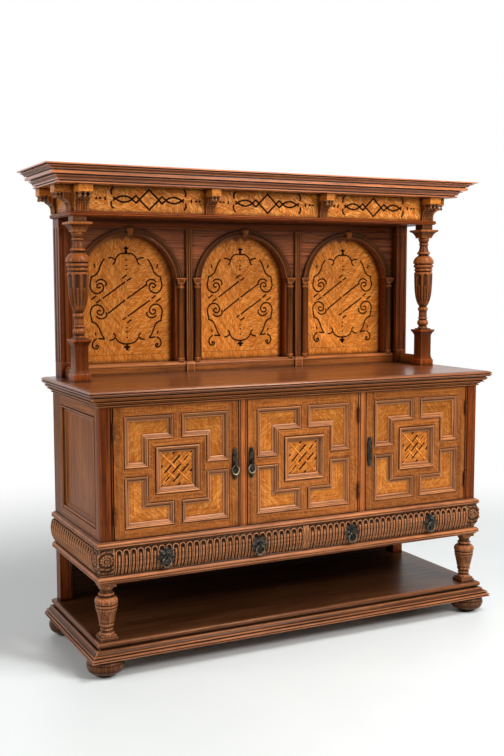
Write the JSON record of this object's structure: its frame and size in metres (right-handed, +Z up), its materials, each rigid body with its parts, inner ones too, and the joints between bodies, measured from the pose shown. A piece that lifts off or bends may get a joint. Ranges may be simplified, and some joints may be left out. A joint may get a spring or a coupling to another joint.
{
  "type": "hutch cabinet",
  "caption": "Carved oak hutch cabinet: arcaded display shelf on turned columns over inlaid panelled doors, bowed fluted drawers and an open base shelf on bun feet.",
  "frame": {"origin": "on the floor under the middle of the bounding box", "axes": "+X to the cabinet's right as seen from the front, +Y to its back, +Z up"},
  "size_m": [1.872, 0.615, 1.8],
  "materials": {
    "stained_oak": "satin polish",
    "flecked_oak": "satin polish",
    "dark_walnut": "satin polish",
    "plain_oak": "matt",
    "dark_bronze": "blackened",
    "ring_brass": "worn"
  },
  "bodies": {
    "case": {"arcade_frame": "stained_oak", "arcade_pilasters": "stained_oak", "arcade_spandrels": "dark_walnut", "arch_jambs": "stained_oak", "arch_mouldings": "stained_oak", "arch_panels": "flecked_oak", "back_boards": "plain_oak", "brackets": "stained_oak", "bun_feet": "stained_oak", "cabinet_partitions": "plain_oak", "column_caps": "stained_oak", "column_pedestals": "stained_oak", "corner_blocks": "stained_oak", "cornice": "stained_oak", "drawer_guides": "plain_oak", "frieze_boards": "flecked_oak", "front_balusters": "stained_oak", "front_stiles": "stained_oak", "hinge_frame_leaves": "dark_bronze", "hutch_base_rails": "stained_oak", "hutch_end_posts": "stained_oak", "hutch_roof": "plain_oak", "hutch_soffit": "stained_oak", "interior_shelves": "plain_oak", "lower_waist_board": "stained_oak", "plinth_frame": "plain_oak", "plinth_mouldings": "stained_oak", "rear_posts": "stained_oak", "shelf_board": "stained_oak", "side_frames": "stained_oak", "side_friezes": "stained_oak", "side_panels": "flecked_oak", "top_board": "stained_oak", "top_mouldings": "stained_oak", "upper_columns": "stained_oak", "upper_waist_board": "stained_oak"},
    "door_left": {"door_left_frame": "flecked_oak", "door_left_panels": "flecked_oak", "door_left_mouldings": "stained_oak", "door_left_metalwork": "dark_bronze"},
    "door_middle": {"door_middle_frame": "flecked_oak", "door_middle_panels": "flecked_oak", "door_middle_mouldings": "stained_oak", "door_middle_metalwork": "dark_bronze"},
    "door_right": {"door_right_frame": "flecked_oak", "door_right_panels": "flecked_oak", "door_right_mouldings": "stained_oak", "door_right_metalwork": "dark_bronze"},
    "drop_ring_left": {"door_left_ring": "ring_brass"},
    "drop_ring_middle": {"door_middle_ring": "ring_brass"},
    "drawer_left": {"drawer_left_front": "stained_oak", "drawer_left_box": "plain_oak", "drawer_left_pulls": "dark_bronze"},
    "drawer_ring_left_inner": {"drawer_left_inner_ring": "ring_brass"},
    "drawer_ring_left_outer": {"drawer_left_outer_ring": "ring_brass"},
    "drawer_right": {"drawer_right_front": "stained_oak", "drawer_right_box": "plain_oak", "drawer_right_pulls": "dark_bronze"},
    "drawer_ring_right_inner": {"drawer_right_inner_ring": "ring_brass"},
    "drawer_ring_right_outer": {"drawer_right_outer_ring": "ring_brass"}
  },
  "joints": [
    {"name": "door_left_hinge", "type": "hinge", "parent": "case", "child": "door_left", "pos_m": [-0.7615, -0.2608, 0.7165], "axis": [0, 0, -1], "range_deg": [0, 100]},
    {"name": "door_middle_hinge", "type": "hinge", "parent": "case", "child": "door_middle", "pos_m": [0.24183, -0.2608, 0.7165], "axis": [0, 0, 1], "range_deg": [0, 100]},
    {"name": "door_right_hinge", "type": "hinge", "parent": "case", "child": "door_right", "pos_m": [0.7615, -0.2608, 0.7165], "axis": [0, 0, 1], "range_deg": [0, 100]},
    {"name": "drop_ring_left_swing", "type": "hinge", "parent": "door_left", "child": "drop_ring_left", "pos_m": [-0.29383, -0.263, 0.7165], "axis": [-1, 0, 0], "range_deg": [0, 90]},
    {"name": "drop_ring_middle_swing", "type": "hinge", "parent": "door_middle", "child": "drop_ring_middle", "pos_m": [-0.22583, -0.263, 0.7165], "axis": [-1, 0, 0], "range_deg": [0, 90]},
    {"name": "drawer_left_slide", "type": "slide", "parent": "case", "child": "drawer_left", "axis": [0, -1, 0], "range_m": [0, 0.3]},
    {"name": "drawer_ring_left_inner_swing", "type": "hinge", "parent": "drawer_left", "child": "drawer_ring_left_inner", "pos_m": [-0.20237, -0.284, 0.4075], "axis": [-1, 0, 0], "range_deg": [0, 90]},
    {"name": "drawer_ring_left_outer_swing", "type": "hinge", "parent": "drawer_left", "child": "drawer_ring_left_outer", "pos_m": [-0.57637, -0.284, 0.4075], "axis": [-1, 0, 0], "range_deg": [0, 90]},
    {"name": "drawer_right_slide", "type": "slide", "parent": "case", "child": "drawer_right", "axis": [0, -1, 0], "range_m": [0, 0.3]},
    {"name": "drawer_ring_right_inner_swing", "type": "hinge", "parent": "drawer_right", "child": "drawer_ring_right_inner", "pos_m": [0.20237, -0.284, 0.4075], "axis": [-1, 0, 0], "range_deg": [0, 90]},
    {"name": "drawer_ring_right_outer_swing", "type": "hinge", "parent": "drawer_right", "child": "drawer_ring_right_outer", "pos_m": [0.57637, -0.284, 0.4075], "axis": [-1, 0, 0], "range_deg": [0, 90]}
  ]
}
